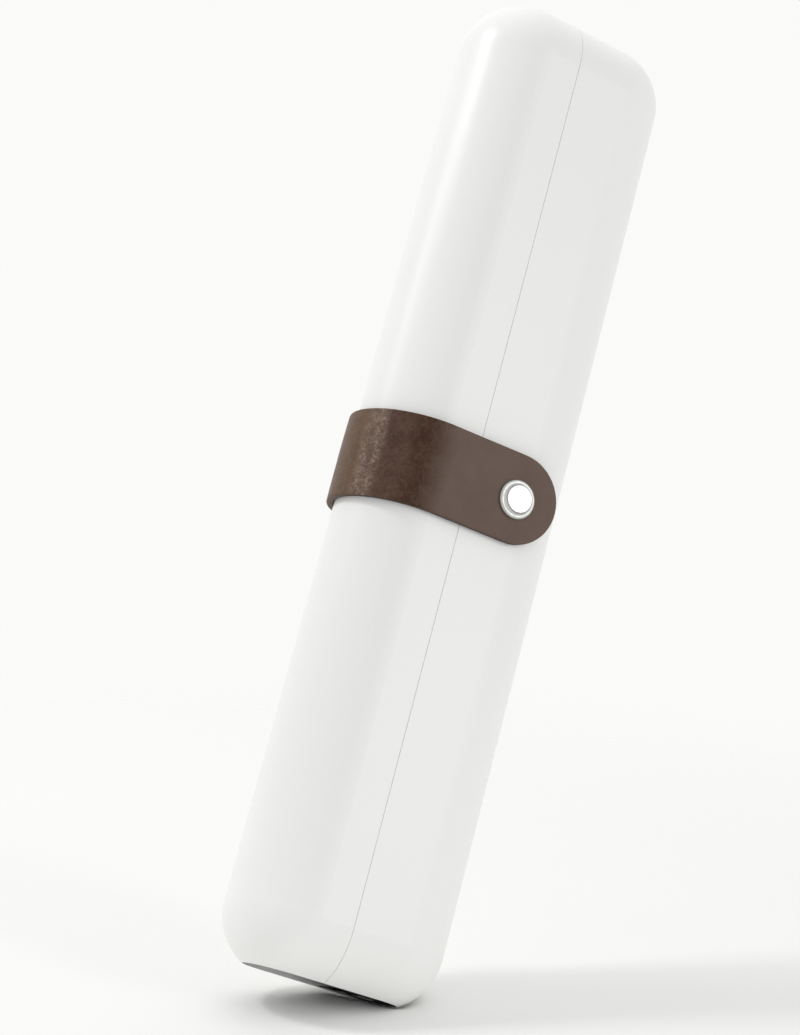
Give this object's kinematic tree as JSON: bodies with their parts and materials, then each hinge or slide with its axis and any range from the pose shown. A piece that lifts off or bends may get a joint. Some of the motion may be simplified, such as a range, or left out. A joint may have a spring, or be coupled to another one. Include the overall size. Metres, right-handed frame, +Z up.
{
  "type": "uv toothbrush sterilizer",
  "caption": "Upright pocket case with a side-hinged lid, a leather strap with a magnetic clasp and ultraviolet lamps inside for sterilizing one toothbrush.",
  "frame": {"origin": "centre of the case's plan outline, on the flat foot that it stands on", "axes": "+Z up the length of the case, +X across the thin side towards the clasp, -Y towards the front nose that the lid covers"},
  "size_m": [0.0333, 0.0483, 0.21],
  "materials": {
    "shell_white": "satin moulded",
    "liner_white": "satin moulded",
    "strap_leather": "fine grain, matt",
    "clasp_metal": "satin",
    "foot_metal": "polished dark",
    "pin_steel": "ground",
    "screw_steel": "bright",
    "reflector": "polished",
    "silicone": "matt",
    "quartz": "clear",
    "circuit_board": "solder mask",
    "led_body": "gloss",
    "chip_black": "matt",
    "flex_amber": "gloss",
    "plug_white": "matt",
    "lead_red": "matt",
    "cell_wrap": "wrapped",
    "holder_black": "matt",
    "nickel": "bright",
    "socket_steel": "bright",
    "button_grey": "gloss",
    "light_clear": "clear",
    "magnet": "plated"
  },
  "bodies": {
    "case": {"rear_shell": "shell_white", "base_plate": "foot_metal", "hinge_pins": "pin_steel", "keeper_disc": "pin_steel", "rear_liner": "liner_white", "liner_screws": "screw_steel", "light_seal": "silicone", "rear_reflector": "reflector", "brush_rests": "silicone", "uv_window": "quartz", "window_gasket": "silicone", "uv_leds": "led_body", "uv_board": "circuit_board", "uv_flex": "flex_amber", "main_board": "circuit_board", "board_chips": "chip_black", "lead_plugs": "plug_white", "lead_wires": "lead_red", "battery_cell": "cell_wrap", "battery_holder": "holder_black", "cell_tabs": "nickel", "base_board": "circuit_board", "board_screws": "screw_steel", "usb_socket": "socket_steel", "usb_tongue": "chip_black", "tact_switch": "chip_black", "status_led": "led_body", "light_guide": "light_clear", "hall_sensor": "chip_black"},
    "power_button": {"power_button": "button_grey", "switch_plunger": "plug_white"},
    "lid": {"front_shell": "shell_white", "lid_base_plate": "foot_metal", "lid_liner": "liner_white", "lid_reflector": "reflector", "lid_pads": "silicone", "lid_magnet": "magnet", "strap_band": "strap_leather", "strap_rivets": "clasp_metal", "rivet_washers": "screw_steel"},
    "strap_end": {"strap_tab": "strap_leather", "clasp_cap": "clasp_metal", "clasp_magnet": "magnet"}
  },
  "joints": [
    {"name": "lid_hinge", "type": "hinge", "parent": "case", "child": "lid", "pos_m": [-0.0145, -0.0027, 0.105], "axis": [0, 0, -1], "range_deg": [0, 140]},
    {"name": "strap_fold", "type": "hinge", "parent": "lid", "child": "strap_end", "pos_m": [0.0152, -0.006, 0.1029], "axis": [0, 0, -1], "range_deg": [0, 100]},
    {"name": "button_press", "type": "slide", "parent": "case", "child": "power_button", "axis": [0, 0, 1], "range_m": [0, 0.0004], "stiffness_N_per_m": 3000, "springref_m": -0.0002}
  ]
}
